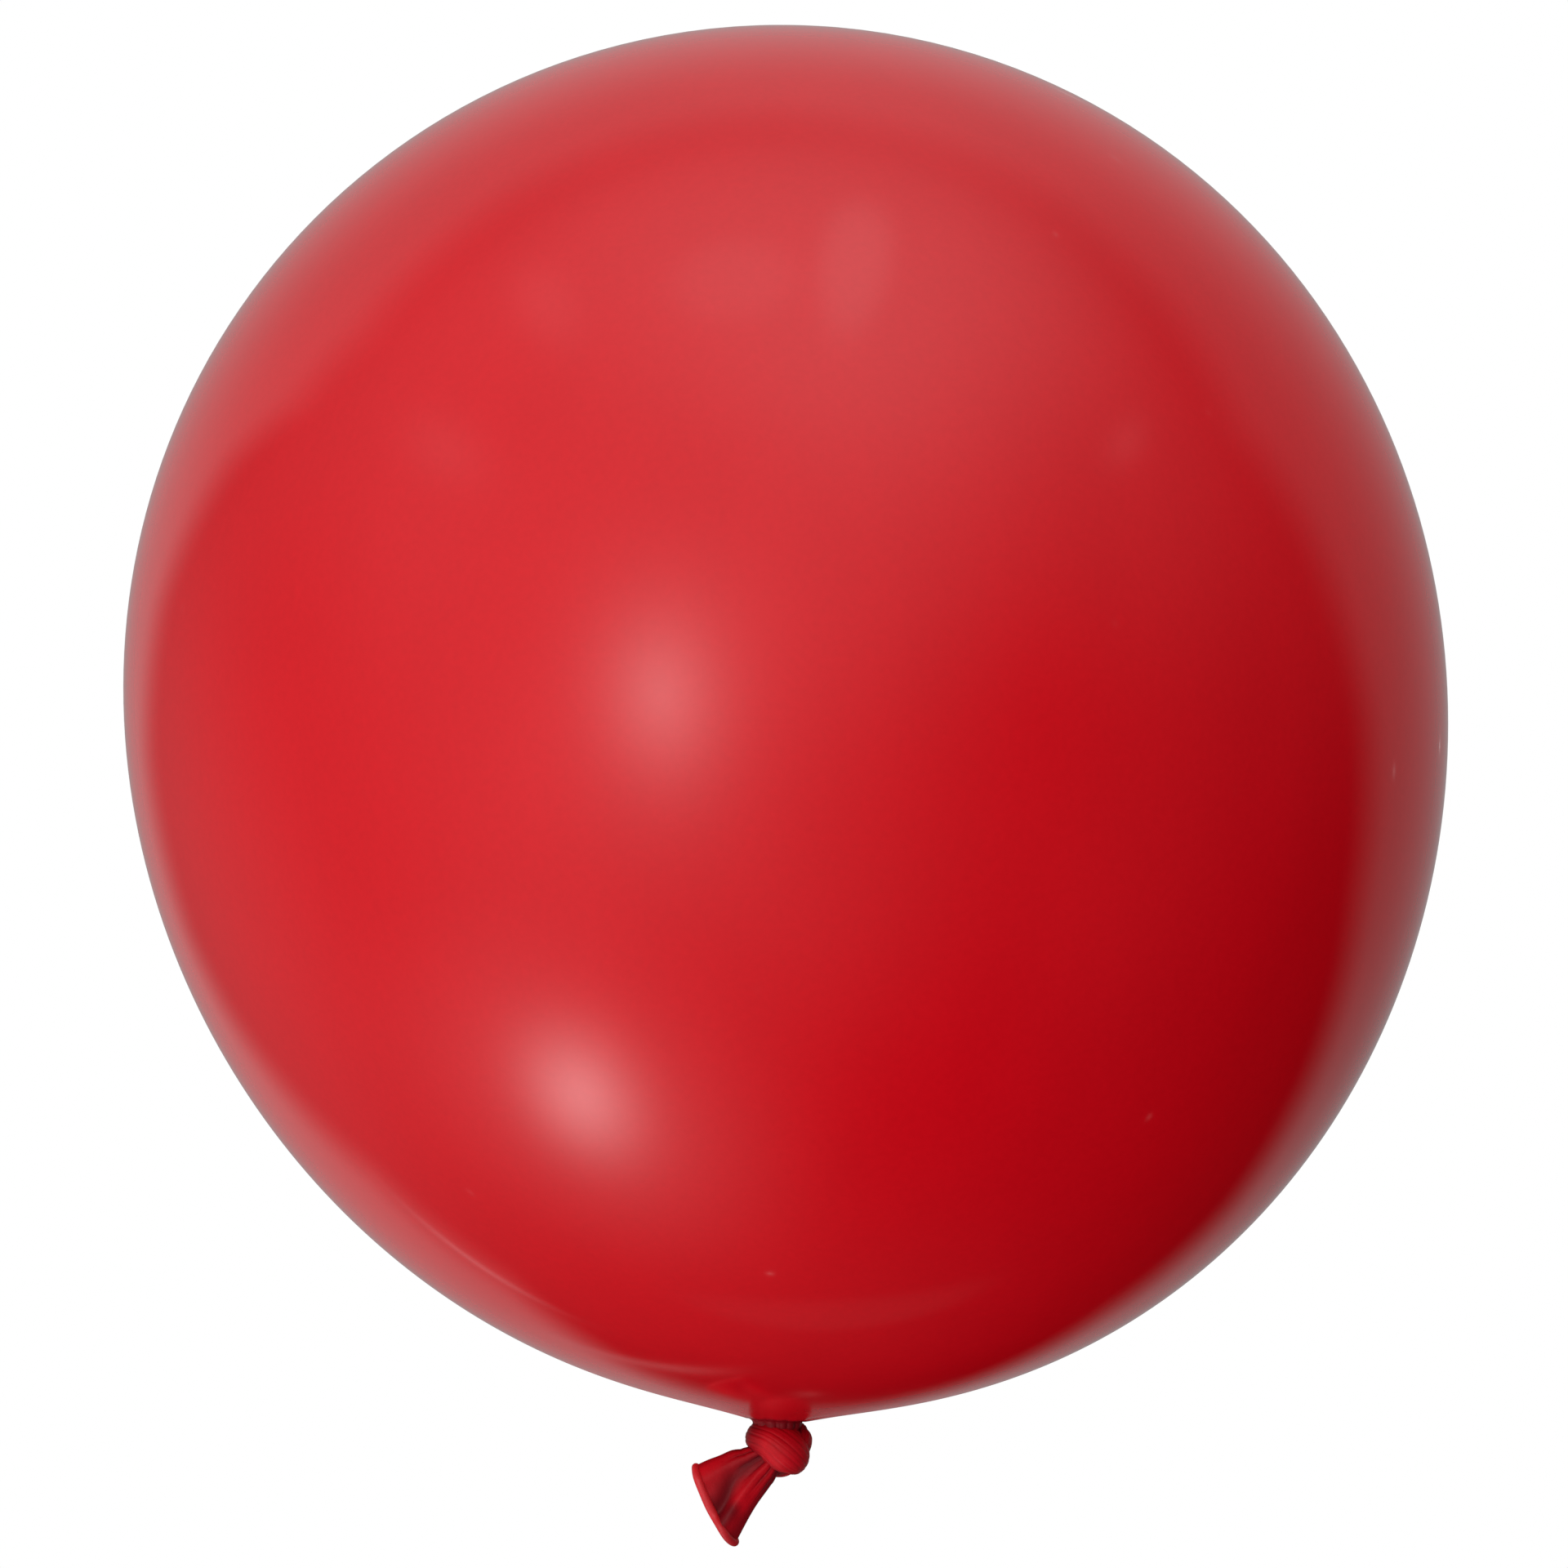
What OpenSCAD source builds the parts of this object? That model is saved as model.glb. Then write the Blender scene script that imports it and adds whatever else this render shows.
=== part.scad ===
// Large round latex balloon, inflated and hand-tied with an overhand knot.
// The origin is the waist, where the film is gathered above the knot, and +Z runs up
// through the balloon. The flattened tail points down and towards -X.
// A real balloon is one dip-moulded film, so each node is one region of that film.

/* [Envelope] */
// Mean radius of the inflated film
mean_r = 226; // [150:1:460]
// How much longer the film is along its own axis than across it
oval = 0.035; // [0:0.005:0.06]
// How much fuller the film is towards the neck than towards the crown
pear = 0.01; // [0:0.005:0.03]
// Lean of the film's axis from vertical, in degrees
lean = 14; // [0:1:20]
// Sideways distance from the neck to the film's centre
centre_x = 3.6; // [0:0.1:8]
// Thickness of the film
film_t = 0.6; // [0.5:0.1:1]

/* [Neck] */
// Height of the undrawn film above the waist, at the neck
film_rise = 2.7; // [2:0.1:4]
// Slope of the film where it is drawn down to the neck, in degrees
shoulder_slope = 15; // [13:1:18]
// Tilt of the neck towards the film's lowest point, in degrees
neck_tilt = 4; // [2:1:5]
// Radius where the shoulder turns down into the throat
throat_r = 6.4; // [6:0.1:7]
// Radius of the gathered film at the waist
waist_r = 4.4; // [4:0.1:5]

/* [Knot] */
// Radius of the bunched film that forms the knot
strand_r = 2.7; // [2:0.1:2.7]

/* [Tail] */
// Angle of the tail below horizontal, in degrees
tail_drop = 41; // [35:1:50]
// Length from the knot to the middle of the rolled lip
tail_length = 18.9; // [16:0.1:22]
// Width of the flattened tail where it leaves the knot
tail_root_w = 16; // [12:0.5:18]
// Width of the flattened mouth, between the middles of the lip
mouth_w = 27.8; // [24:0.1:30]
// Opening of the flattened mouth, between the middles of the lip
mouth_t = 10.4; // [9:0.1:12]
// Slant of the mouth across the tail, in degrees
mouth_slant = 7.5; // [0:0.5:10]
// Thickness of the unstretched film in the tail
tail_film_t = 0.5; // [0.4:0.1:0.6]
// Radius of the rolled lip
lip_r = 1.4; // [1:0.1:1.4]

/* [Hidden] */

// Colours of the stretched film and of the thicker, darker film at the neck
film_red = [0.78, 0.10, 0.12];
neck_red = [0.62, 0.04, 0.09];

// Envelope: degrees between the points of its outline, and height of its centre
outline_step = 3;
centre_z = film_rise + egg_r(lean);

// Height of the shoulder's lower edge, and how far its cone runs up into the film
throat_z = 0.3;
shoulder_h = 10;
throat_bend = throat_r - waist_r;
waist_z = throat_z - throat_bend;

// Gap between pieces that a joint parts
joint_gap = 0.1;

// Sides of the bunched film, and rings between two of its route's points
strand_sides = 12;
rings_per_point = 2;

// Route of the bunched film from the waist, through the overhand knot, to the tail.
// It runs down behind the knot, under it to the right, across the front from lower
// right to upper left, over the back, and out between its own turns, to the lower left.
route = [
    [0.0, 0.0, -2.8], [0.2, -0.3, -6.0], [-1.3, 0.7, -8.9], [-3.5, 3.4, -11.0],
    [-2.7, 6.4, -13.5], [0.3, 7.5, -16.0], [4.1, 6.1, -17.8], [7.3, 2.9, -18.3],
    [8.6, -1.3, -17.5], [7.5, -4.9, -15.8], [4.4, -6.8, -13.6], [0.5, -6.8, -11.6],
    [-3.4, -6.8, -9.6], [-6.5, -4.9, -7.4], [-7.6, -1.3, -5.7], [-6.3, 2.9, -4.9],
    [-3.1, 6.1, -5.4], [0.7, 7.5, -7.2], [3.7, 6.4, -9.7], [4.5, 3.4, -12.2],
    [2.6, 0.4, -14.1], [-0.8, -1.2, -14.6], [-3.9, -1.8, -14.9], [-6.8, -2.0, -16.6]
];
// Places along the route where the front turn of the knot begins and ends
turn_start = 6;
turn_end = 16;

// Tail: its start, its direction, the direction of its width, and how it is divided
tail_start = route[len(route) - 1];
tail_dir = [-cos(tail_drop), 0, -sin(tail_drop)];
wide_dir = [sin(tail_drop), 0, -cos(tail_drop)];
thin_dir = [0, 1, 0];
tail_root_len = 4;
tail_root_t = 5.2;
tail_sides = 32;
tail_rings = 6;
root_rings = 4;
lip_sides = 8;
lip_flat = lip_r * cos(180 / lip_sides);

// ---- Vectors and curves ----

function unit(v) = v / norm(v);
function mix(a, b, t) = a + (b - a) * t;
function smooth(t) = t * t * (3 - 2 * t);

// Point at t along the smooth curve from b to c, whose neighbours are a and d
function curve_point(a, b, c, d, t) =
    b + t * (c - a) / 2
    + t * t * (a - 2.5 * b + 2 * c - d / 2)
    + t * t * t * (-a + 3 * b - 3 * c + d) / 2;

// Point s points along a route; the curve runs straight on past the route's ends
function at(p, i) = i < 0 ? 2 * p[0] - p[1]
    : i < len(p) ? p[i]
    : 2 * p[len(p) - 1] - p[len(p) - 2];
function route_point(p, s) = let (i = min(floor(s), len(p) - 2))
    curve_point(at(p, i - 1), at(p, i), at(p, i + 1), at(p, i + 2), s - i);
function route_dir(p, s) = let (h = 0.05, last = len(p) - 1)
    unit(route_point(p, min(s + h, last)) - route_point(p, max(s - h, 0)));

// Side directions that turn as little as possible from one ring to the next
function side_dirs(dirs, side, i = 0) = i == len(dirs) ? []
    : let (next = unit(side - dirs[i] * (side * dirs[i])))
        concat([next], side_dirs(dirs, next, i + 1));

// A ring of points round a centre, with half-widths along two directions
function oval_ring(centre, side, up, half_w, half_t, sides) =
    [for (k = [0:sides - 1]) let (a = 360 * k / sides)
        centre + side * half_w * cos(a) + up * half_t * sin(a)];

// Turned about Y by the neck's tilt
function tilted(p) = [
    p.x * cos(neck_tilt) + p.z * sin(neck_tilt), p.y,
    -p.x * sin(neck_tilt) + p.z * cos(neck_tilt)
];

// ---- Solids from rings ----

// Faces between rings of n points; closed joins the last ring to the first
function ring_faces(count, n, closed) =
    [for (i = [0:count - (closed ? 1 : 2)], k = [0:n - 1])
        let (j = (i + 1) % count, m = (k + 1) % n)
            each [[i * n + k, j * n + k, j * n + m], [i * n + k, j * n + m, i * n + m]]];

// A solid skinned over rings, with flat ends
module skin(rings) {
    n = len(rings[0]);
    count = len(rings);
    start_face = [for (k = [0:n - 1]) k];
    end_face = [for (k = [n - 1:-1:0]) (count - 1) * n + k];
    polyhedron(
        points = [for (ring = rings) each ring],
        faces = concat([start_face], ring_faces(count, n, false), [end_face])
    );
}

// A solid loop whose last ring joins its first
module loop(rings) {
    polyhedron(
        points = [for (ring = rings) each ring],
        faces = ring_faces(len(rings), len(rings[0]), true)
    );
}

// ---- Envelope ----

// Radius of the film at an angle from its pointed end
function egg_r(angle) = let (c = cos(angle))
    mean_r * (1 + oval * (3 * c * c - 1) / 2 + pear * (5 * c * c * c - 3 * c) / 2);

// The body of the film, shrunk by an inset
module egg(inset) {
    translate([centre_x, 0, centre_z])
        rotate([0, 180 - lean, 0])
            rotate_extrude($fn = 120)
                polygon([for (a = [0:outline_step:180])
                    (egg_r(a) - inset) * [sin(a), cos(a)]]);
}

// The cone of film drawn down to the neck, raised by an inset
module shoulder(inset) {
    rotate([0, neck_tilt, 0])
        translate([0, 0, throat_z + inset])
            cylinder(h = shoulder_h, r1 = throat_r,
                r2 = throat_r + shoulder_h / tan(shoulder_slope), $fn = 96);
}

module envelope_film() {
    color(film_red)
        difference() {
            union() {
                egg(0);
                shoulder(0);
            }
            egg(film_t);
            shoulder(film_t);
            rotate([0, neck_tilt, 0])
                translate([0, 0, throat_z - film_t])
                    cylinder(h = 3 * film_t, r = throat_r, $fn = 96);
        }
}

// ---- Neck ----

// The film turns down into the neck as a quarter of a ring
module throat_film() {
    color(neck_red)
        rotate([0, neck_tilt, 0])
            rotate_extrude($fn = 96)
                intersection() {
                    translate([waist_r - film_t, waist_z])
                        square([throat_bend + film_t, throat_bend + film_t]);
                    translate([throat_r, waist_z])
                        difference() {
                            circle(r = throat_bend + film_t, $fn = 64);
                            circle(r = throat_bend, $fn = 64);
                        }
                }
}

// The gathered film, from the waist to the knot's first strand
module neck_strand() {
    top = tilted([0, 0, waist_z]);
    bottom = route[0] + [0, 0, joint_gap];
    top_side = tilted([1, 0, 0]);
    dir = route_dir(route, 0);
    side = unit(top_side - dir * (top_side * dir));
    up = cross(dir, side);
    color(neck_red)
        skin([for (i = [0:root_rings]) let (t = i / root_rings, w = smooth(t))
            oval_ring(mix(top, bottom, t), unit(mix(top_side, side, t)),
                unit(mix(-thin_dir, up, t)), mix(waist_r, strand_r, w),
                mix(waist_r, strand_r, w), strand_sides)]);
}

// ---- Knot ----

// The bunched film between two places along the route
module strand(first, last) {
    steps = [0:(last - first) * rings_per_point];
    places = [for (i = steps) first + i / rings_per_point];
    dirs = [for (s = places) route_dir(route, s)];
    sides = side_dirs(dirs, cross(dirs[0], [0.3, 0.9, 0.2]));
    color(neck_red)
        skin([for (i = steps)
            oval_ring(route_point(route, places[i]), sides[i], cross(dirs[i], sides[i]),
                strand_r, strand_r, strand_sides)]);
}

module knot_standing_part() {
    strand(0, turn_start);
}

module knot_turn() {
    strand(turn_start, turn_end);
}

module knot_working_end() {
    strand(turn_end, len(route) - 1);
}

// ---- Tail ----

// Direction of the width at a share of the film: it slants towards the mouth
function slanted(t) = let (s = mouth_slant * t)
    wide_dir * cos(s) + tail_dir * sin(s);

// Direction out of a flattened ring, at a share of the film
function ring_normal(t) = let (s = mouth_slant * t)
    tail_dir * cos(s) - wide_dir * sin(s);

// A flattened ring of the tail's film, at a share of its length, grown by an offset
function tail_ring(t, grow) =
    oval_ring(tail_start + tail_dir * mix(tail_root_len, tail_length, t)
            - ring_normal(t) * lip_flat * t,
        slanted(t), thin_dir,
        mix(tail_root_w, mouth_w, t) / 2 + grow,
        mix(tail_root_t, mouth_t, smooth(t)) / 2 + grow, tail_sides);

// The pleated film between the knot and the open tail
module tail_root() {
    dir = route_dir(route, len(route) - 1);
    side = unit(wide_dir - dir * (wide_dir * dir));
    up = cross(side, dir);
    color(neck_red)
        skin([for (i = [0:root_rings]) let (t = i / root_rings)
            oval_ring(tail_start + tail_dir * mix(joint_gap, tail_root_len, t),
                unit(mix(side, wide_dir, t)), unit(mix(up, thin_dir, t)),
                mix(strand_r, tail_root_w / 2, t),
                mix(strand_r, tail_root_t / 2, t), tail_sides)]);
}

// The flattened funnel of unstretched film
module tail_film() {
    outside = [for (i = [0:tail_rings]) tail_ring(i / tail_rings, 0)];
    inside = [for (i = [tail_rings:-1:0]) tail_ring(i / tail_rings, -tail_film_t)];
    color(neck_red)
        loop(concat(outside, inside));
}

// The bead rolled at the mouth: a flat of each ring faces the film's end
module rolled_lip() {
    half_w = mouth_w / 2 - tail_film_t / 2;
    half_t = mouth_t / 2 - tail_film_t / 2;
    centre = tail_start + tail_dir * tail_length;
    side = slanted(1);
    normal = ring_normal(1);
    color(neck_red)
        loop([for (k = [0:tail_sides - 1])
            let (
                a = 360 * k / tail_sides,
                middle = centre + side * half_w * cos(a) + thin_dir * half_t * sin(a),
                out = unit(side * cos(a) / half_w + thin_dir * sin(a) / half_t)
            )
            [for (j = [0:lip_sides - 1]) let (b = 360 * (j + 0.5) / lip_sides)
                middle + lip_r * (out * cos(b) + normal * sin(b))]]);
}

envelope_film();
throat_film();
neck_strand();
knot_standing_part();
knot_turn();
knot_working_end();
tail_root();
tail_film();
rolled_lip();
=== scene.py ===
import math

import bpy
import numpy as np
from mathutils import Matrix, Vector


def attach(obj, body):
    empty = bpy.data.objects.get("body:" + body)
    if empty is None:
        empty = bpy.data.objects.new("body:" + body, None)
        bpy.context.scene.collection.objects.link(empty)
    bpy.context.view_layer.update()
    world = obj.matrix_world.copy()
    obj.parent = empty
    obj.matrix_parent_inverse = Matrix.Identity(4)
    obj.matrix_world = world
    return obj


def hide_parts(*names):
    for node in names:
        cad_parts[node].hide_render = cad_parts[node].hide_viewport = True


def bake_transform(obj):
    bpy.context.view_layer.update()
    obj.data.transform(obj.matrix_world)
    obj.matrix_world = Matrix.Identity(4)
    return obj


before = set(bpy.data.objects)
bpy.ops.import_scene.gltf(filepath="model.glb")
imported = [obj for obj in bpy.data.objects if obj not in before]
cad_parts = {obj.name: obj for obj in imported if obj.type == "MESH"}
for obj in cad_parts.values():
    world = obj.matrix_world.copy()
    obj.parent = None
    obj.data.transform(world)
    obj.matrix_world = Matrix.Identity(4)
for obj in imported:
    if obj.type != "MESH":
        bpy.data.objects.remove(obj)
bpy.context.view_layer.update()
MM = 0.001

# ---------------------------------------------------------------- the latex film's shape
# The inflated body is an egg of revolution, as in the CAD: mean radius, how much longer
# it is along its axis, how much fuller it is towards the neck, and the lean of its axis.
MEAN_R = 226 * MM
OVAL = 0.0353
PEAR = 0.0102
LEAN = math.radians(14)
EGG_AXIS = np.array([math.sin(LEAN), 0, -math.cos(LEAN)])
EGG_CENTRE = np.array([3.6, 0, 237.9]) * MM
FILM_T = 0.4 * MM
BODY_COLUMNS = 240
BODY_ROWS = 140
CROWN_GAP = 0.012

# The neck draws the film down to the waist in a shallow cone, with a small flare and puckers
# near it. Spreads and places are in radians from the neck, as seen from the egg's centre.
NECK_DRAW = 5.2 * MM
NECK_DRAW_SPREAD = 0.067
FLARE_DRAW = 0.7 * MM
FLARE_SPREAD = 0.085
PUCKER = 0.2 * MM
PUCKER_AT = 0.055
PUCKER_SPREAD = 0.05
THROAT_R = 11 * MM
THROAT_ROWS = 25
THROAT_END_ROWS = 5
WAIST_R = 8.4 * MM
WAIST_Z = -1.9 * MM
THROAT_DEPTH = 5 * MM

# ---------------------------------------------------------------- the knot and the tail
# The middle line of the bunched neck through the overhand knot, in mm, by its three runs:
# down from the waist and round below, up across the front and round the neck behind, and back
# through the middle to the lower left.
STANDING_RUN = np.array([
    [0.0, 0.0, -1.0], [0.0, 0.5, -4.5], [-1.4, 2.6, -8.6], [-4.0, 5.0, -12.4],
    [-2.6, 6.2, -15.2], [1.6, 6.0, -16.1], [5.2, 3.4, -15.0],
]) * MM
FRONT_RUN = np.array([
    [4.4, 4.8, -15.6], [6.7, 1.2, -14.9], [7.0, -3.4, -13.6], [5.4, -6.3, -11.5],
    [2.1, -7.4, -8.6], [-2.0, -6.7, -6.0], [-5.6, -4.4, -4.9], [-7.2, -0.6, -4.5],
    [-6.0, 3.6, -4.3], [-2.4, 6.0, -4.6], [2.6, 6.1, -4.7], [6.4, 3.9, -4.4], [8.0, 0.2, -4.8],
]) * MM
WORKING_RUN = np.array([
    [7.6, 2.4, -4.7], [8.5, -0.4, -6.9], [7.0, -1.6, -10.0], [3.0, -1.4, -12.6],
    [-1.4, -1.2, -13.9], [-5.6, -1.5, -15.2],
]) * MM
KNOT_MIDDLE = np.array([0.55, 0.0, -9.6]) * MM
KNOT_TOP = 0.5 * MM
KNOT_TOP_SOFTNESS = 1.2 * MM
STRAND_COLUMNS = 224
SQUARENESS = 2.6

# The flattened tail: its axis from where it leaves the knot, and the width and thin directions.
TAIL_DROP = math.radians(41)
TAIL_START = np.array([-6.8, -2.0, -16.6]) * MM
TAIL_DIR = np.array([-math.cos(TAIL_DROP), 0, -math.sin(TAIL_DROP)])
TAIL_WIDE = np.array([math.sin(TAIL_DROP), 0, -math.cos(TAIL_DROP)])
TAIL_THIN = np.array([0.0, 1.0, 0.0])
TAIL_LENGTH = 18.5 * MM
TAIL_FILM_T = 0.35 * MM
TAIL_HALF_T = 3.2 * MM
ROOT_T = -0.35
ROOT_HALF_W = 5.0 * MM
EXIT_HALF_W = 7.0 * MM
MOUTH_SLANT = math.radians(13.5)
MOUTH_HALF_W = 14.3 * MM
LIP_R = 1.45 * MM

# Colours of the film, from thin to thick, and the painted shade put in its folds, creases and dark
# edges
BODY_THIN = (0.625, 0.002, 0.008)
BODY_THICK = (0.575, 0.0015, 0.007)
NECK_THIN = (0.55, 0.002, 0.010)
NECK_THICK = (0.45, 0.001, 0.007)
# painted shade: the colour that folds, creases and edges are darkened towards
PAINTED_FOLD_SHADE = (0.13, 0.0005, 0.004)
LIP_THIN = (0.62, 0.018, 0.026)
LIP_THICK = (0.54, 0.013, 0.020)


# ---------------------------------------------------------------- mesh helpers
def smooth_step(t):
    """0 below 0, 1 above 1, and a smooth rise between."""
    t = np.clip(t, 0, 1)
    return t * t * (3 - 2 * t)


def unit(v):
    """The vector or vectors at length 1."""
    return v / np.linalg.norm(v, axis=-1, keepdims=True)


def rings_to_mesh(name, rings, start_tip=None, end_tip=None, loop=False, turn=False):
    """A mesh skinned over rings of points; a tip closes an end, and loop joins the ends.

    turn makes its faces look the other way.
    """
    rows, cols = rings.shape[:2]
    points = rings.reshape(-1, 3).tolist()
    faces = []
    for i in range(rows if loop else rows - 1):
        j = (i + 1) % rows
        for k in range(cols):
            m = (k + 1) % cols
            faces.append((i * cols + k, i * cols + m, j * cols + m, j * cols + k))
    if start_tip is not None:
        points.append(list(start_tip))
        tip = len(points) - 1
        faces += [(tip, (k + 1) % cols, k) for k in range(cols)]
    if end_tip is not None:
        points.append(list(end_tip))
        tip = len(points) - 1
        first = (rows - 1) * cols
        faces += [(tip, first + k, first + (k + 1) % cols) for k in range(cols)]
    if turn:
        faces = [f[::-1] for f in faces]
    mesh = bpy.data.meshes.new(name)
    mesh.from_pydata(points, [], faces)
    mesh.validate()
    mesh.shade_smooth()
    piece = bpy.data.objects.new(name, mesh)
    bpy.context.scene.collection.objects.link(piece)
    return piece


def paint(piece, name, values, *tips):
    """Stores a number at each point of a piece made of rings, for its material."""
    layer = piece.data.attributes.new(name, "FLOAT", "POINT")
    layer.data.foreach_set("value", np.append(values.ravel(), tips).astype(np.float32))


def thicken(piece, thickness):
    """Gives a film its thickness, behind the faces that are drawn.

    The balloon's faces look out and it thickens inwards. The tail's look in and it thickens
    outwards.
    """
    film = piece.modifiers.new("film", "SOLIDIFY")
    film.thickness = thickness
    film.offset = -1


def route_curve(points, per_span):
    """Dense points on the smooth curve through a route's points."""
    ends = np.vstack([2 * points[0] - points[1], points, 2 * points[-1] - points[-2]])
    dense = []
    for i in range(len(points) - 1):
        a, b, c, d = ends[i:i + 4]
        for t in np.arange(per_span) / per_span:
            dense.append(b + t * (c - a) / 2 + t * t * (a - 2.5 * b + 2 * c - d / 2)
                         + t ** 3 * (-a + 3 * b - 3 * c + d) / 2)
    dense.append(points[-1])
    return np.array(dense)


def route_frames(points, hub):
    """Tangent, outward and side directions along a route that winds round a hub."""
    along = unit(np.gradient(points, axis=0))
    out = points - hub
    out = unit(out - along * np.sum(out * along, axis=1, keepdims=True))
    for _ in range(12):
        out[1:-1] = (out[:-2] + 2 * out[1:-1] + out[2:]) / 4
        out = unit(out - along * np.sum(out * along, axis=1, keepdims=True))
    return along, out, np.cross(along, out)


def round_angles(count):
    """Angles evenly round a ring."""
    return np.arange(count) * 2 * math.pi / count


def folds(angle, count, phase):
    """Rounded pleats with sharp valleys between them, from -1 in a valley to 0 on a crest."""
    return np.abs(np.sin(count * angle / 2 + phase)) ** 0.6 - 1


# ---------------------------------------------------------------- pieces
def egg_radius(direction):
    """Distance from the egg's centre to its surface, by direction."""
    c = direction @ EGG_AXIS
    return MEAN_R * (1 + OVAL * (3 * c * c - 1) / 2 + PEAR * (5 * c ** 3 - 3 * c) / 2)


def make_envelope():
    """The inflated film, from the crown to the pleated throat, which ends in the knot."""
    azimuth = round_angles(BODY_COLUMNS)
    neck_dir = unit(-EGG_CENTRE)
    side = unit(np.cross([0, 1, 0], neck_dir))
    depth = np.cross(neck_dir, side)
    spoke = side[None] * np.cos(azimuth)[:, None] + depth[None] * np.sin(azimuth)[:, None]

    def film_ring(beta):
        direction = math.cos(beta) * neck_dir[None] + math.sin(beta) * spoke
        draw = NECK_DRAW * math.exp(-beta / NECK_DRAW_SPREAD)
        draw = draw + FLARE_DRAW * math.exp(-(beta / FLARE_SPREAD) ** 2)
        past = max(beta - PUCKER_AT, 0)
        pucker = PUCKER * math.exp(-(past / PUCKER_SPREAD) ** 2)
        crease = folds(azimuth, 11, 0.6) + 0.6 * folds(azimuth, 7, 2.0)
        radius = egg_radius(direction) + draw + pucker * crease
        return EGG_CENTRE + radius[:, None] * direction

    first = THROAT_R / np.linalg.norm(EGG_CENTRE)
    spread = np.linspace(0, 1, BODY_ROWS)
    betas = first + (math.pi - CROWN_GAP - first) * (0.25 * spread + 0.75 * spread ** 1.6)
    body = np.array([film_ring(b) for b in betas[::-1]])

    # The throat: each column runs down in a curve to the waist, in deepening pleats.
    top = body[-1]
    slope = unit(top - body[-2])
    spoke_out = unit(top * [1, 1, 0])
    pleat = folds(azimuth, 13, 0.4) * 0.75 + folds(azimuth, 9, 1.3) * 0.5
    down = np.array([0, 0, -1.0])
    waist = spoke_out * WAIST_R - down * WAIST_Z
    a, b = top, top + slope * (THROAT_R - WAIST_R) * 0.75
    c, d = waist - down * 1.9 * MM, waist
    throat = []
    for t in np.linspace(0, 1, THROAT_ROWS + 1)[1:]:
        point = ((1 - t) ** 3 * a + 3 * (1 - t) ** 2 * t * b
                 + 3 * (1 - t) * t * t * c + t ** 3 * d)
        depth_now = 0.35 * MM + 0.55 * MM * smooth_step(t)
        turned = smooth_step(t * 1.4)
        outward = unit(spoke_out * turned + down * (1 - turned) + 1e-9)
        throat.append(point + outward * (pleat * depth_now)[:, None])
    end = throat[-1]
    for t in np.linspace(0, 1, THROAT_END_ROWS + 1)[1:]:
        narrow = 1 - 0.25 * t
        throat.append(end * [narrow, narrow, 1] + down * THROAT_DEPTH * t)
    rings = np.concatenate([body, np.array(throat)])
    # painted shade: a scalloped band round the neck is darkened, where the knot shades the film
    reach = np.linalg.norm(rings[..., :2], axis=2) + 20 * np.maximum(rings[..., 2] - 30 * MM, 0)
    scallop = (1.5 * folds(azimuth, 13, 0.4) + folds(azimuth, 9, 1.3)) * MM
    painted_shade = 0.85 * smooth_step((16 * MM - reach + 1.2 * scallop) / (6 * MM))
    crown = EGG_CENTRE - neck_dir * egg_radius(-neck_dir)
    piece = rings_to_mesh("latex_envelope", rings, start_tip=crown)
    paint(piece, "painted_shade", painted_shade, 0)
    paint(piece, "near_neck", np.clip(1 - (reach - 6 * MM) / (90 * MM), 0, 1), 0)
    neck_faces = np.arange(len(piece.data.polygons)) // BODY_COLUMNS >= BODY_ROWS - 1
    neck_faces[-BODY_COLUMNS:] = False
    piece.data.materials.append(film_look)
    piece.data.materials.append(neck_look)
    piece.data.polygons.foreach_set("material_index", neck_faces.astype(np.int32))
    thicken(piece, FILM_T)
    return piece


def strand(name, route, half_w, half_t, shade_along, hug, pleat_count, phase):
    """Bunched, pleated film along a route; half-widths and thicknesses are given at its points.

    So is how much painted shade it gets, from 0 to 1. hug is the radius of the ball that the flat
    section bends round.
    """
    per_span = 10
    points = route_curve(route, per_span)
    along, out, side = route_frames(points, KNOT_MIDDLE)
    place = np.arange(len(points)) / per_span
    half_w = route_curve(np.array(half_w)[:, None] * MM, per_span)[:, 0]
    half_t = route_curve(np.array(half_t)[:, None] * MM, per_span)[:, 0]
    shade_along = route_curve(np.array(shade_along)[:, None], per_span)[:, 0]
    angle = round_angles(STRAND_COLUMNS)
    c, s = np.cos(angle), np.sin(angle)
    square = (np.abs(c) ** SQUARENESS + np.abs(s) ** SQUARENESS) ** (-1 / SQUARENESS)
    span = place[-1]
    rings, shade_rings = [], []
    for i, middle in enumerate(points):
        edge = min(place[i], span - place[i]) / 0.5
        cap = math.sqrt(1 - (1 - edge) ** 2) if edge < 1 else 1
        twist = phase + 0.16 * place[i]
        broad = folds(angle, pleat_count, twist)
        fine = folds(angle, 29, 2.3 * twist)
        size = (1 + 0.05 * broad + 0.032 * fine + 0.012 * folds(angle, 53, 1.7 * twist)
                + 0.02 * np.sin(3 * angle + 1.9 * place[i] + phase)) * max(cap, 0.02) * square
        u = half_w[i] * c * size
        h = half_t[i] * s * size - (hug - np.sqrt(hug ** 2 - u ** 2))
        rings.append(middle + side[i] * u[:, None] + out[i] * h[:, None])
        # painted shade: darker in the pleats' valleys and along the flat section's edges, on top of
        # the shade given for the run
        rim = smooth_step((np.abs(c) - 0.86) / 0.14)
        shade_rings.append(np.clip(shade_along[i] - 0.3 * broad ** 3 - 0.22 * fine ** 3 + 0.45 * rim, 0, 1))
    rings = np.array(rings)
    tips = [points[0], points[-1]]
    for shape in (rings, *tips):
        shape[..., 2] = flat_top(shape[..., 2])
    piece = rings_to_mesh(name, rings, start_tip=tips[0], end_tip=tips[1], turn=True)
    paint(piece, "painted_shade", np.array(shade_rings), 1, 1)
    return piece


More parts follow.
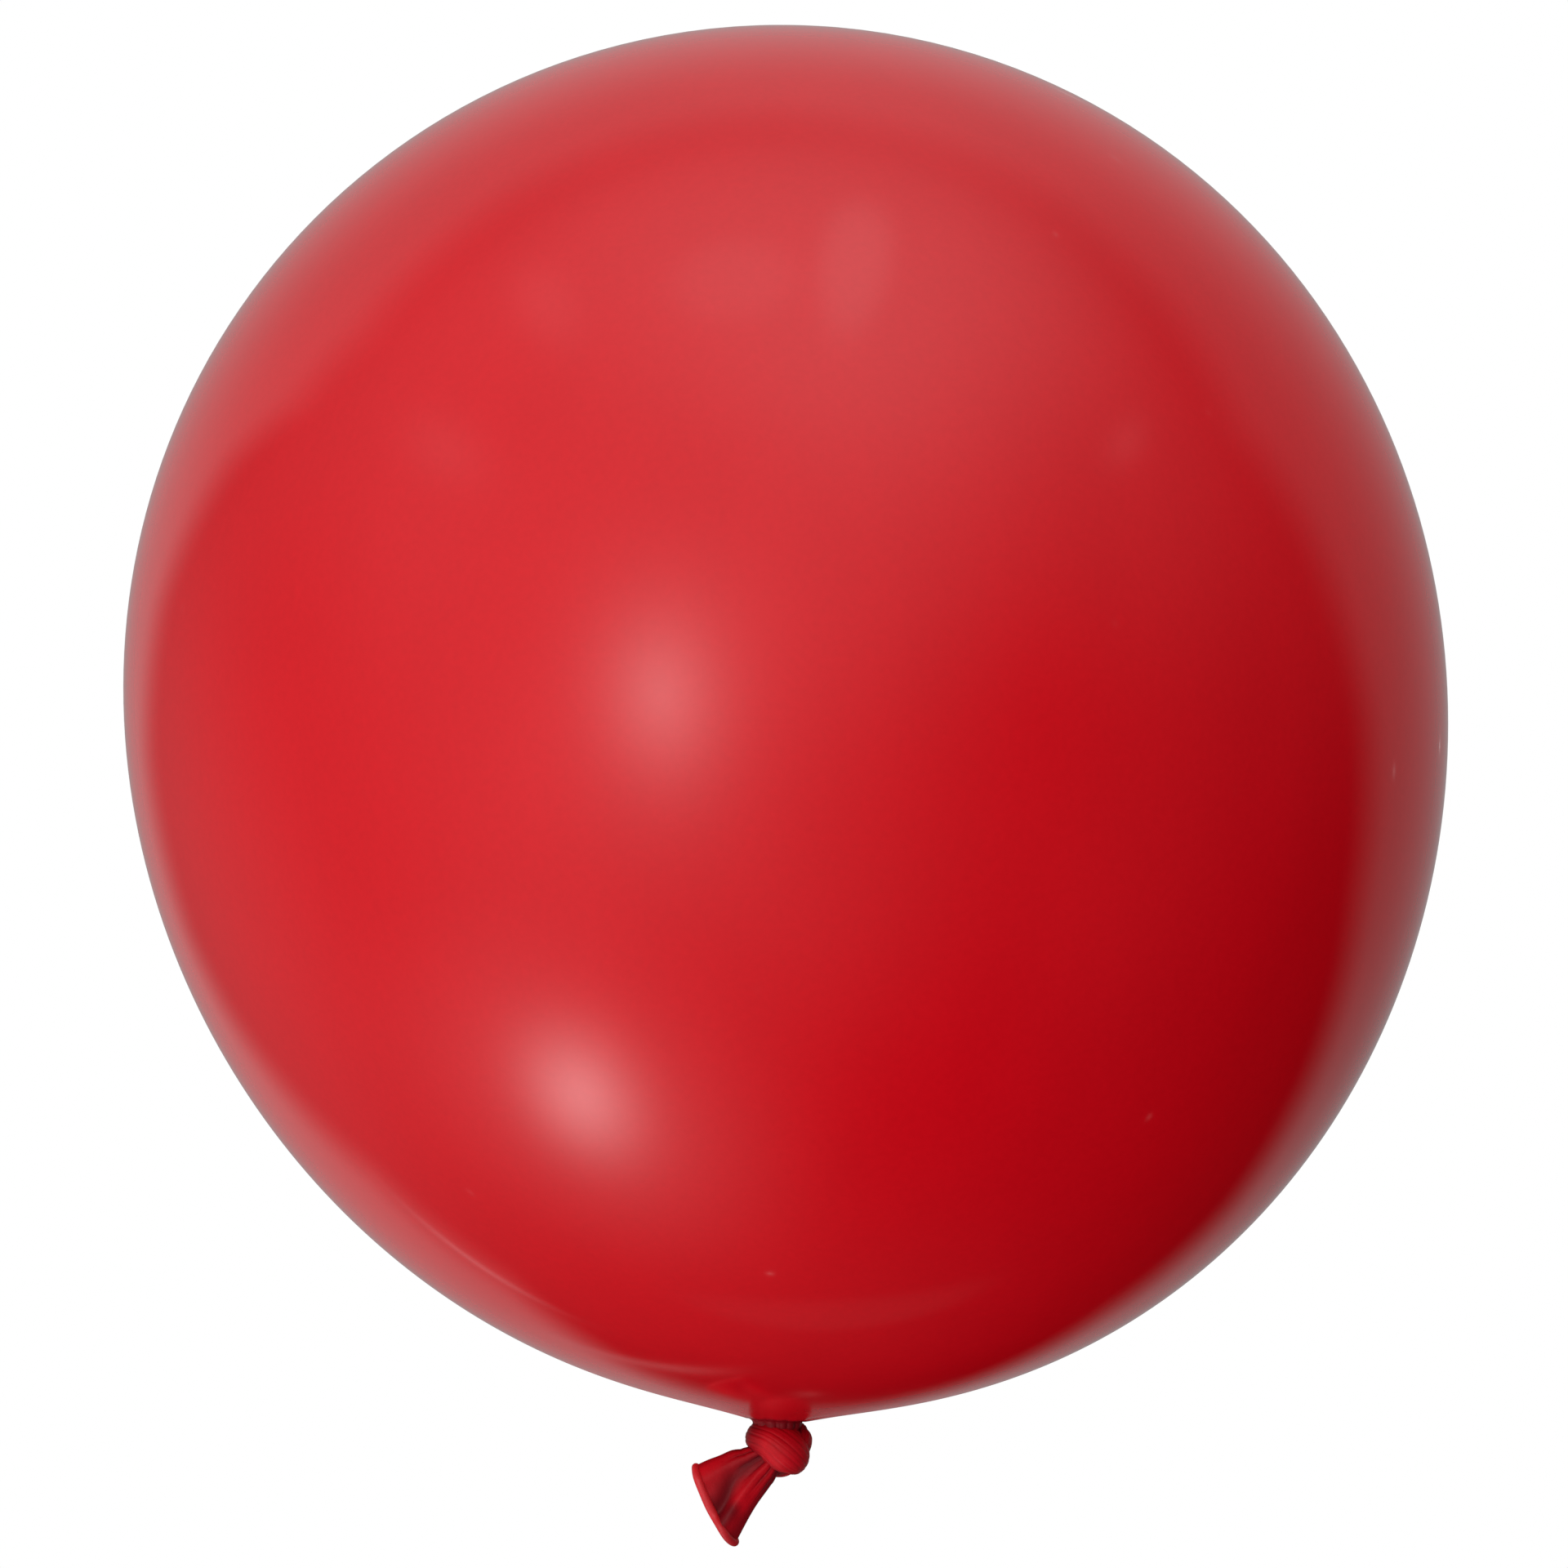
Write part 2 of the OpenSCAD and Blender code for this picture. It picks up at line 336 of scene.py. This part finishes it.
def flat_top(z):
    """Presses what rises towards the film down to a level a little below it."""
    soft = KNOT_TOP_SOFTNESS
    over = z - (KNOT_TOP - soft)
    return np.where(over > 0, KNOT_TOP - soft * np.exp(-np.maximum(over, 0) / soft), z)


def make_knot():
    """The three runs of the overhand knot, pressed into each other."""
    return [
        # the third list of each run is how much painted shade it gets along its route
        strand("knot_standing_run", STANDING_RUN,
               (3.8, 4.0, 4.8, 5.2, 4.9, 4.4, 3.8), (3.4, 3.2, 3.2, 3.1, 2.9, 3.0, 3.0),
               (0.5, 0.4, 0.3, 0.3, 0.35, 0.4, 0.4), 14 * MM, 11, 0.3),
        strand("knot_front_turn", FRONT_RUN,
               (3.6, 4.6, 6.2, 7.6, 7.9, 7.0, 6.1, 5.7, 5.0, 4.7, 4.6, 4.2, 3.6),
               (3.0, 3.0, 2.9, 2.8, 2.8, 2.9, 3.0, 3.0, 3.0, 3.0, 3.1, 3.3, 3.0),
               (0.5, 0.45, 0.3, 0.15, 0.05, 0, 0.55, 0.9, 0.5, 0.25, 0.25, 0.35, 0.45),
               11 * MM, 15, 1.1),
        strand("knot_working_run", WORKING_RUN,
               (3.2, 4.2, 4.6, 4.6, 5.0, 4.6), (2.8, 3.2, 3.4, 3.4, 3.2, 2.6),
               (0.4, 0.4, 0.5, 0.5, 0.5, 0.5), 14 * MM, 11, 2.2),
    ]


def bump(x, middle, left, right):
    """A rounded hump with its own width on each side."""
    return np.exp(-((x - middle) / np.where(x < middle, left, right)) ** 2)


def ridge_places(share):
    """Where the front's ridge and valley lie across the tail: both drift towards its lower edge."""
    return 0.22 + 0.25 * share, -0.2 + 0.44 * smooth_step((share - 0.35) / 0.6)


def tail_ring(t, angle):
    """A ring of the flattened funnel: t is ROOT_T in the knot, 0 outside it and 1 at the mouth.

    f runs across the tail, from -1 at its upper edge to 1 at its lower one.
    """
    share = max(t, 0)
    slant = MOUTH_SLANT * share
    wide = TAIL_WIDE * math.cos(slant) + TAIL_DIR * math.sin(slant)
    f, front = np.cos(angle), -np.sin(angle)
    half_w = ROOT_HALF_W + (EXIT_HALF_W - ROOT_HALF_W) * smooth_step((t - ROOT_T) / -ROOT_T)
    half_w = half_w + (MOUTH_HALF_W - EXIT_HALF_W) * share ** 0.95
    swell = 0.8 * math.sin(math.pi * share) + 0.9 * math.exp(-((t - 0.12) / 0.22) ** 2)
    bulge = swell * MM * np.maximum(-f, 0)
    # in front two ridges with a broad valley between them, and behind a shallower pair
    crest, valley = ridge_places(share)
    faced = (2.3 * bump(f, crest, 0.15, 0.34) + 1.5 * bump(f, -0.72, 0.26, 0.22)
             - 1.9 * bump(f, valley, 0.32, 0.22))
    backed = -0.9 * np.cos(2 * math.pi * (f + 0.04) / 1.06)
    ridge = np.where(front > 0, faced, backed) * MM * (0.35 + 0.65 * share)
    ridge = ridge * np.sqrt(np.maximum(1 - f * f, 0))
    pleat = 0.5 * MM * (folds(angle, 13, 0.5) + 0.6) * (1 - smooth_step(share * 1.9))
    fine = 0.1 * MM * folds(angle, 37, 1.0) * (1 - smooth_step(share * 1.4))
    belly = 2.1 * MM * np.maximum(front, 0) * (1 + 0.2 * f) * share ** 3
    hollow = 1.0 * MM * math.sin(math.pi * share) * np.maximum(f, 0)
    across = (half_w + bulge - hollow + pleat + fine) * f + (0.2 * share - 0.5) * MM
    depth = (TAIL_HALF_T + pleat + fine) * front + np.sign(front) * ridge
    return (TAIL_START + TAIL_DIR * (TAIL_LENGTH * t + belly)[:, None] + wide * across[:, None]
            - TAIL_THIN * depth[:, None])


def tail_painted_shade(t, angle):
    """How much painted shade each point of the tail's film gets: in its valley, at the ridge's
    foot, along its edges and round its root.
    """
    f, front = np.cos(angle), -np.sin(angle)
    share = max(t, 0)
    middle = ridge_places(share)[1]
    # painted shade in the front's valley, lighter behind
    valley = bump(f, middle - 0.04, 0.44 + 0.1 * share, 0.24 + 0.14 * share)
    valley = valley * np.where(front > 0, 0.75 + 0.4 * share, 0.3)
    # painted shade at the ridge's foot, where it runs out before the lip
    foot = 0.95 * bump(f, 0.42, 0.36, 0.3) * smooth_step((share - 0.5) / 0.25) * (front > 0)
    # painted shade along both edges, and in the pleats round the root
    edges = 0.75 * smooth_step((f - 0.62) / 0.3) + 0.45 * smooth_step((-f - 0.88) / 0.12)
    root = (1 - smooth_step((t + 0.05) / 0.45)) * (0.15 - 0.7 * folds(angle, 13, 0.5))
    return np.clip(np.maximum(valley, foot) + edges + root, 0, 1)


def make_tail():
    """The flattened, pleated funnel of unstretched film, with its root inside the knot."""
    angle = round_angles(240)
    spans = np.linspace(ROOT_T, 1, 64)
    rings = np.array([tail_ring(t, angle) for t in spans])
    piece = rings_to_mesh("tail_funnel", rings, start_tip=TAIL_START - TAIL_DIR * 7.4 * MM)
    paint(piece, "painted_shade", np.array([tail_painted_shade(t, angle) for t in spans]), 1)
    thicken(piece, TAIL_FILM_T)
    return piece


def make_lip():
    """The bead rolled round the mouth."""
    cols, turn = 200, 24
    angle = round_angles(cols)
    middle = tail_ring(1, angle)
    for _ in range(40):
        middle = (np.roll(middle, 1, axis=0) + 2 * middle + np.roll(middle, -1, axis=0)) / 4
    along = unit(np.roll(middle, -1, axis=0) - np.roll(middle, 1, axis=0))
    normal = np.broadcast_to(TAIL_DIR, along.shape)
    out = unit(np.cross(along, normal))
    up = np.cross(out, along)
    b = round_angles(turn)[:, None]
    rings = []
    for k in range(cols):
        r = LIP_R * (1 + 0.05 * math.sin(3 * angle[k] + 1) + 0.04 * math.sin(7 * angle[k]))
        rings.append(middle[k] + r * (out[k] * np.cos(b) + up[k] * np.sin(b)))
    piece = rings_to_mesh("neck_rolled_lip", np.array(rings), loop=True, turn=True)
    # painted shade: darker along the lip's lower side
    lower_side_shade = 0.45 * smooth_step((np.cos(angle) - 0.3) / 0.7)
    paint(piece, "painted_shade", np.repeat(lower_side_shade, turn))
    return piece


# ---------------------------------------------------------------- materials
def new_material(name):
    """An empty node material with one shader, and what is needed to build it."""
    material = bpy.data.materials.new(name)
    material.use_nodes = True
    nodes = material.node_tree.nodes
    nodes.clear()
    output = nodes.new("ShaderNodeOutputMaterial")
    shader = nodes.new("ShaderNodeBsdfPrincipled")
    material.node_tree.links.new(shader.outputs[0], output.inputs[0])
    return material, nodes, material.node_tree.links, shader


def mix_colours(nodes, links, amount, a, b):
    """A colour node that goes from a to b; each is a colour or another node's output."""
    mix = nodes.new("ShaderNodeMix")
    mix.data_type = "RGBA"
    links.new(amount, mix.inputs["Factor"])
    for socket, colour in ((mix.inputs["A"], a), (mix.inputs["B"], b)):
        if isinstance(colour, tuple):
            socket.default_value = (*colour, 1)
        else:
            links.new(colour, socket)
    return mix.outputs["Result"]


def remap(nodes, links, value, from_min, from_max, to_min=0, to_max=1):
    """A value moved from one range to another, and kept inside it."""
    node = nodes.new("ShaderNodeMapRange")
    node.inputs["From Min"].default_value = from_min
    node.inputs["From Max"].default_value = from_max
    node.inputs["To Min"].default_value = to_min
    node.inputs["To Max"].default_value = to_max
    links.new(value, node.inputs["Value"])
    return node.outputs["Result"]


def noise(nodes, links, place, scale, detail):
    """Noise with a scale in cycles for each metre."""
    node = nodes.new("ShaderNodeTexNoise")
    node.inputs["Scale"].default_value = scale
    node.inputs["Detail"].default_value = detail
    links.new(place, node.inputs["Vector"])
    return node.outputs["Fac"]


def attribute(nodes, name):
    """A number painted on the mesh."""
    node = nodes.new("ShaderNodeAttribute")
    node.attribute_name = name
    return node.outputs["Fac"]


def bumps(nodes, links, shader, height, distance):
    """Raises the surface by a height pattern, up to a distance in metres."""
    node = nodes.new("ShaderNodeBump")
    node.inputs["Strength"].default_value = 1
    node.inputs["Distance"].default_value = distance
    links.new(height, node.inputs["Height"])
    links.new(node.outputs["Normal"], shader.inputs["Normal"])


def streaks(nodes, links, place, squeeze, scale, detail):
    """Noise drawn out along some axes, as the film ran while it was dipped or was stretched."""
    node = nodes.new("ShaderNodeMapping")
    node.inputs["Scale"].default_value = squeeze
    links.new(place, node.inputs["Vector"])
    return noise(nodes, links, node.outputs["Vector"], scale, detail)


def stretched_latex():
    """The taut, glossy film; towards the neck it is thicker, darker and less glossy, and a
    scalloped band round the neck has painted shade.
    """
    material, nodes, links, shader = new_material("stretched_latex")
    place = nodes.new("ShaderNodeTexCoord").outputs["Object"]
    near = attribute(nodes, "near_neck")
    cloud = noise(nodes, links, place, 9, 5)
    runs = streaks(nodes, links, place, (1, 1, 0.15), 40, 4)
    speckle = noise(nodes, links, place, 420, 3)
    blend = nodes.new("ShaderNodeVectorMath")
    blend.operation = "DOT_PRODUCT"
    blend.inputs[1].default_value = (0.4, 0.25, 0.35)
    parts = nodes.new("ShaderNodeCombineXYZ")
    for socket, part in zip(parts.inputs, (cloud, runs, speckle)):
        links.new(part, socket)
    links.new(parts.outputs["Vector"], blend.inputs[0])
    mottle = remap(nodes, links, blend.outputs["Value"], 0.38, 0.62)
    body = mix_colours(nodes, links, mottle, BODY_THIN, BODY_THICK)
    thicker = mix_colours(nodes, links, remap(nodes, links, near, 0.85, 0.97), body, NECK_THIN)
    # painted shade: the band round the neck is mixed towards the dark fold colour
    colour = mix_colours(nodes, links, attribute(nodes, "painted_shade"), thicker, PAINTED_FOLD_SHADE)
    links.new(colour, shader.inputs["Base Color"])
    rough = nodes.new("ShaderNodeMath")
    rough.operation = "ADD"
    links.new(remap(nodes, links, near, 0, 1, 0.045, 0.26), rough.inputs[0])
    links.new(remap(nodes, links, speckle, 0.3, 0.7, 0, 0.03), rough.inputs[1])
    links.new(rough.outputs[0], shader.inputs["Roughness"])
    shader.inputs["IOR"].default_value = 1.5
    bumps(nodes, links, shader, cloud, 0.00012)
    return material


def neck_latex(name, thin, thick, gloss, specular):
    """The unstretched film of the neck: thicker and satin, darkened by painted shade in its folds,
    along its edges and on its lower side.
    """
    material, nodes, links, shader = new_material(name)
    place = nodes.new("ShaderNodeTexCoord").outputs["Object"]
    cloud = remap(nodes, links, noise(nodes, links, place, 160, 4), 0.35, 0.7)
    open_film = mix_colours(nodes, links, cloud, thin, thick)
    # painted shade: folds, edges and lower sides are mixed towards the dark fold colour
    colour = mix_colours(nodes, links, attribute(nodes, "painted_shade"), open_film, PAINTED_FOLD_SHADE)
    links.new(colour, shader.inputs["Base Color"])
    grain = noise(nodes, links, place, 900, 3)
    links.new(remap(nodes, links, grain, 0.3, 0.7, gloss, gloss + 0.14), shader.inputs["Roughness"])
    shader.inputs["Specular IOR Level"].default_value = specular
    shader.inputs["IOR"].default_value = 1.3
    bumps(nodes, links, shader, grain, 0.00008)
    return material


# ---------------------------------------------------------------- light, floor and camera
# Soft sources: direction, half-width and half-height and roll in degrees, edge (1 is a plain
# glow, and more makes a panel with a harder edge), and strength. The strengths, and the sheet's
# and the fill lamps' numbers below, come from a fit to the photograph that other scripts made.
SOFT_SOURCES = (
    # the room in front, at the sides, above and below
    ((0.0, -0.85, 0.52), 33, 33, 0, 1, 0.723),
    ((-0.11, -0.97, -0.23), 33, 33, 0, 1, 0.258),
    ((-0.75, -0.66, 0.05), 33, 33, 0, 1, 0.529),
    ((-1.0, 0.1, 0.15), 33, 33, 0, 1, 0.0606),
    ((-0.85, -0.15, -0.55), 33, 33, 0, 1, 0.178),
    ((-0.35, -0.75, -0.55), 33, 33, 0, 1, 0.229),
    ((0.07, -0.2, 0.98), 33, 33, 0, 1, 1.06),
    ((0.55, -0.4, 0.73), 33, 33, 0, 1, 0.352),
    ((-0.7, -0.15, 0.7), 33, 33, 0, 1, 0.561),
    ((0.85, 0.0, 0.5), 33, 33, 0, 1, 0.096),
    ((0.75, -0.65, -0.1), 33, 33, 0, 1, 0.0717),
    ((0.6, -0.4, -0.65), 33, 33, 0, 1, 0.0235),
    ((-0.3, 0.1, -0.95), 33, 33, 0, 1, 0.0989),
    ((-0.85, 0.5, -0.2), 33, 33, 0, 1, 0.286),
    ((0.1, 0.7, 0.7), 33, 33, 0, 1, 0.189),
    # two lamps, each with its halo
    ((-0.357, -0.934, 0.006), 9, 11, 0, 0.8, 2.33),
    ((-0.357, -0.934, 0.006), 22, 25, 0, 1, 0.322),
    ((-0.509, -0.234, -0.828), 7.3, 9.5, -60, 0.9, 3.54),
    ((-0.509, -0.234, -0.828), 22, 22, 0, 1, 0.763),
    # ceiling panels, and small lights to the left and right
    ((0.172, -0.21, 0.956), 5, 15, 0, 2, 0.468),
    ((-0.114, -0.279, 0.953), 9, 9, 0, 2, 0.251),
    ((-0.524, -0.14, 0.84), 9.8, 4, -13, 1.2, 0.213),
    ((-0.791, -0.27, 0.549), 10, 4.3, -10, 1, 0.228),
    ((0.796, -0.209, 0.568), 5.9, 2.5, 16, 1, 0.201),
    # a table's pale top, and two bright edges low on the left
    ((0.05, 0.40, -0.915), 15, 5, 0, 2.5, 0.0501),
    ((-0.395, 0.698, -0.598), 5, 0.9, 40, 1, 0.35),
    ((-0.145, 0.80, -0.58), 1.2, 6, -20, 1, 0.2),
)
# The white sheet behind: how many degrees it reaches from straight behind, by the direction
# round the line of sight, in degrees from the right and anticlockwise. Its glow is a middle
# value and a slope along each axis.
SHEET_REACH = (
    (0, 60), (30, 77), (60, 68), (90, 64), (120, 68), (140, 71), (150, 67), (158, 54),
    (172, 39), (185, 32), (200, 31), (207, 34), (225, 47), (240, 46), (255, 28), (263, 22),
    (270, 18), (276, 18), (285, 22), (300, 32), (315, 36), (330, 45), (345, 55), (360, 60),
)
SHEET_GLOW = 0.313
SHEET_SLOPE = (-0.103, 0, 0.022)
SHEET_EDGE = 9

# Wide, soft lamps that light the film's colour and leave no reflection: direction, strength.
FILL_LAMPS = (
    ((0, 1, 0), 0.89), ((-1, -1, -1), 0.44), ((0, -1, 1), 0.05), ((1, 1, 1), 0.49),
    ((1, 1, 0), 0.45), ((-1, 0, -1), 0.32), ((0, -1, 0), 0.60), ((1, -1, -1), 0.07),
    ((0, 1, -1), 0.49), ((-1, 1, 0), 0.14), ((-1, -1, 0), 0.17), ((0, 1, 1), 0.27),
)
FILL_SPREAD = math.radians(80)


def make_world():
    """A white world for the camera, and the studio's soft sources for everything else."""
    world = bpy.data.worlds.new("studio")
    bpy.context.scene.world = world
    world.use_nodes = True
    nodes = world.node_tree.nodes
    links = world.node_tree.links
    nodes.clear()

    def sums(kind, *values):
        node = nodes.new("ShaderNodeMath")
        node.operation = kind
        for socket, value in zip(node.inputs, values):
            if isinstance(value, (int, float)):
                socket.default_value = value
            else:
                links.new(value, socket)
        return node.outputs[0]

    place = nodes.new("ShaderNodeTexCoord").outputs["Generated"]

    def along(axis):
        node = nodes.new("ShaderNodeVectorMath")
        node.operation = "DOT_PRODUCT"
        node.inputs[1].default_value = axis
        links.new(place, node.inputs[0])
        return node.outputs["Value"]

    total = 0
    for direction, half_w, half_h, roll, edge, strength in SOFT_SOURCES:
        facing = Vector(direction).normalized()
        up = Vector((0, 0, 1)) if abs(facing.z) < 0.9 else Vector((0, 1, 0))
        across = up.cross(facing).normalized()
        upward = facing.cross(across)
        c, s = math.cos(math.radians(roll)), math.sin(math.radians(roll))
        wide = (across * c + upward * s) / math.tan(math.radians(half_w))
        tall = (upward * c - across * s) / math.tan(math.radians(half_h))
        depth = sums("MAXIMUM", along(facing), 0.01)
        u = sums("DIVIDE", along(wide), depth)
        v = sums("DIVIDE", along(tall), depth)
        off = sums("ADD", sums("MULTIPLY", u, u), sums("MULTIPLY", v, v))
        if edge != 1:
            off = sums("POWER", off, edge)
        light = sums("MULTIPLY", sums("EXPONENT", sums("MULTIPLY", off, -1)), strength)
        total = sums("ADD", total, light)

    turn = sums("DIVIDE", sums("ARCTAN2", along((0, 0, 1)), along((1, 0, 0))), 2 * math.pi)
    reach = nodes.new("ShaderNodeValToRGB")
    stops = reach.color_ramp.elements
    stops[0].position, stops[1].position = 0, 1
    for turned, degrees in SHEET_REACH:
        at = turned / 360
        stop = stops[0] if at == 0 else stops[-1] if at == 1 else stops.new(at)
        stop.color = (degrees / 90,) * 3 + (1,)
    links.new(sums("FRACT", turn), reach.inputs[0])
    away = sums("DIVIDE", sums("ARCCOSINE", along((0, 1, 0))), math.pi / 2)
    inside = sums("SUBTRACT", reach.outputs[0], away)
    soft = nodes.new("ShaderNodeMapRange")
    soft.interpolation_type = "SMOOTHSTEP"
    soft.inputs["From Min"].default_value = -SHEET_EDGE / 90
    soft.inputs["From Max"].default_value = SHEET_EDGE / 90
    links.new(inside, soft.inputs["Value"])
    glow = sums("MULTIPLY", soft.outputs[0], sums("ADD", along(SHEET_SLOPE), SHEET_GLOW))
    total = sums("ADD", total, glow)

    studio = nodes.new("ShaderNodeBackground")
    links.new(total, studio.inputs["Strength"])
    white = nodes.new("ShaderNodeBackground")
    for shade in (studio, white):
        shade.inputs["Color"].default_value = (1, 1, 1, 1)
    path = nodes.new("ShaderNodeLightPath")
    pick = nodes.new("ShaderNodeMixShader")
    output = nodes.new("ShaderNodeOutputWorld")
    links.new(path.outputs["Is Camera Ray"], pick.inputs[0])
    links.new(studio.outputs[0], pick.inputs[1])
    links.new(white.outputs[0], pick.inputs[2])
    links.new(pick.outputs[0], output.inputs[0])


def make_fill_lamps():
    """Lamps that stand in for the light that comes through the film, which is opaque here."""
    for direction, strength in FILL_LAMPS:
        data = bpy.data.lights.new("fill", "SUN")
        data.energy = strength
        data.angle = FILL_SPREAD
        lamp = bpy.data.objects.new("fill", data)
        lamp.rotation_euler = Vector(direction).to_track_quat("Z", "Y").to_euler()
        lamp.visible_glossy = False
        bpy.context.scene.collection.objects.link(lamp)


def make_camera():
    """A level camera on a long lens, as for a product picture."""
    view_width = 0.528
    view_middle = Vector((2.2 * MM, 0, 214 * MM))
    lens, sensor = 300, 36
    camera_data = bpy.data.cameras.new("camera")
    camera_data.lens = lens
    camera_data.sensor_width = sensor
    camera_data.clip_end = 100
    camera = bpy.data.objects.new("camera", camera_data)
    bpy.context.scene.collection.objects.link(camera)
    camera.location = view_middle + Vector((0, -view_width * lens / sensor, 0))
    camera.rotation_euler = (math.radians(90), 0, 0)
    bpy.context.scene.camera = camera


def make_floor():
    """A pale round floor well below the floating balloon, which fades out towards its rim.

    It is seen from above only, and doesn't show in the film or shade it.
    """
    radius, height = 2.6, -0.35
    angle = round_angles(96)
    rim = np.stack([np.cos(angle), -np.sin(angle), 0 * angle], axis=1)
    rings = np.array([rim * radius * s + [0, 0, height] for s in np.linspace(0.04, 1, 16)])
    floor = rings_to_mesh("floor", rings, start_tip=(0, 0, height))
    material, nodes, links, shader = new_material("pale floor")
    place = nodes.new("ShaderNodeTexCoord").outputs["Object"]
    tone = remap(nodes, links, noise(nodes, links, place, 3, 4), 0.3, 0.7)
    links.new(mix_colours(nodes, links, tone, (0.93, 0.93, 0.93), (0.9, 0.9, 0.9)),
              shader.inputs["Base Color"])
    shader.inputs["Roughness"].default_value = 0.8
    length = nodes.new("ShaderNodeVectorMath")
    length.operation = "LENGTH"
    flat = nodes.new("ShaderNodeVectorMath")
    flat.operation = "MULTIPLY"
    flat.inputs[1].default_value = (1, 1, 0)
    links.new(place, flat.inputs[0])
    links.new(flat.outputs["Vector"], length.inputs[0])
    fade = nodes.new("ShaderNodeMapRange")
    fade.interpolation_type = "SMOOTHSTEP"
    fade.inputs["From Min"].default_value = radius * 0.97
    fade.inputs["From Max"].default_value = radius * 0.15
    links.new(length.outputs["Value"], fade.inputs["Value"])
    facing = nodes.new("ShaderNodeMath")
    facing.operation = "SUBTRACT"
    facing.inputs[0].default_value = 1
    facing.use_clamp = True
    links.new(nodes.new("ShaderNodeNewGeometry").outputs["Backfacing"], facing.inputs[1])
    shown = nodes.new("ShaderNodeMath")
    shown.operation = "MULTIPLY"
    links.new(fade.outputs[0], shown.inputs[0])
    links.new(facing.outputs[0], shown.inputs[1])
    links.new(shown.outputs[0], shader.inputs["Alpha"])
    floor.data.materials.append(material)
    floor.visible_glossy = False
    floor.visible_diffuse = False
    floor.visible_shadow = False


bpy.context.scene.view_settings.view_transform = "Standard"
make_world()
make_fill_lamps()
make_camera()
make_floor()

film_look = stretched_latex()
neck_look = neck_latex("neck_latex", NECK_THIN, NECK_THICK, 0.4, 0.4)
lip_look = neck_latex("rolled_latex", LIP_THIN, LIP_THICK, 0.3, 0.9)

envelope = make_envelope()
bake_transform(envelope)
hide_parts("envelope_film", "throat_film", "neck_strand")

for piece, node in zip(make_knot(), ("knot_standing_part", "knot_turn", "knot_working_end")):
    piece.data.materials.append(neck_look)
    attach(piece, "knot")
    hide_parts(node)

tail = make_tail()
tail.data.materials.append(neck_look)
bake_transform(tail)
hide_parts("tail_root", "tail_film")

lip = make_lip()
lip.data.materials.append(lip_look)
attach(lip, "tail")
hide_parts("rolled_lip")
